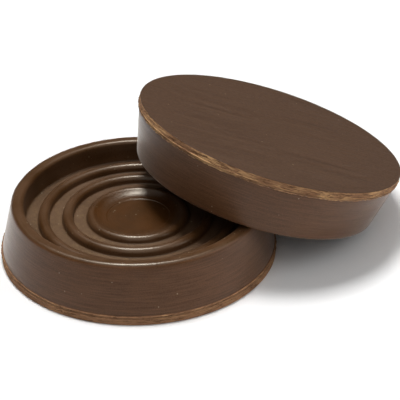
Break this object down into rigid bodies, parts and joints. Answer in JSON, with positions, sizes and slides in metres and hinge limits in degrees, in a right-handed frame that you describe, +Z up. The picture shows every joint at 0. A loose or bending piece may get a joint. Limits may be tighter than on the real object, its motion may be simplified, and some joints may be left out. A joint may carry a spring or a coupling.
{
  "type": "caster cup pair",
  "caption": "Moulded rubber caster cup with concentric rings round a shallow dish, shown with its mate leaning upside down on its rim; holds a furniture caster and protects the floor.",
  "frame": {"origin": "centre of the standing cup's flat underside, on the floor", "axes": "+Z up along the standing cup's axis, +X towards the cup that leans on it"},
  "size_m": [0.1153, 0.076, 0.0387],
  "materials": {
    "brown_rubber": "semi-gloss moulded brown rubber, matte flat underside, rough tan cut band at the foot"
  },
  "bodies": {
    "standing": {"standing_cup": "brown_rubber"},
    "leaning": {"leaning_cup": "brown_rubber"}
  },
  "joints": [
    {"name": "leaning_cup_lift", "type": "slide", "parent": "standing", "child": "leaning", "axis": [0, 0, 1], "range_m": [0, 0.04]}
  ]
}
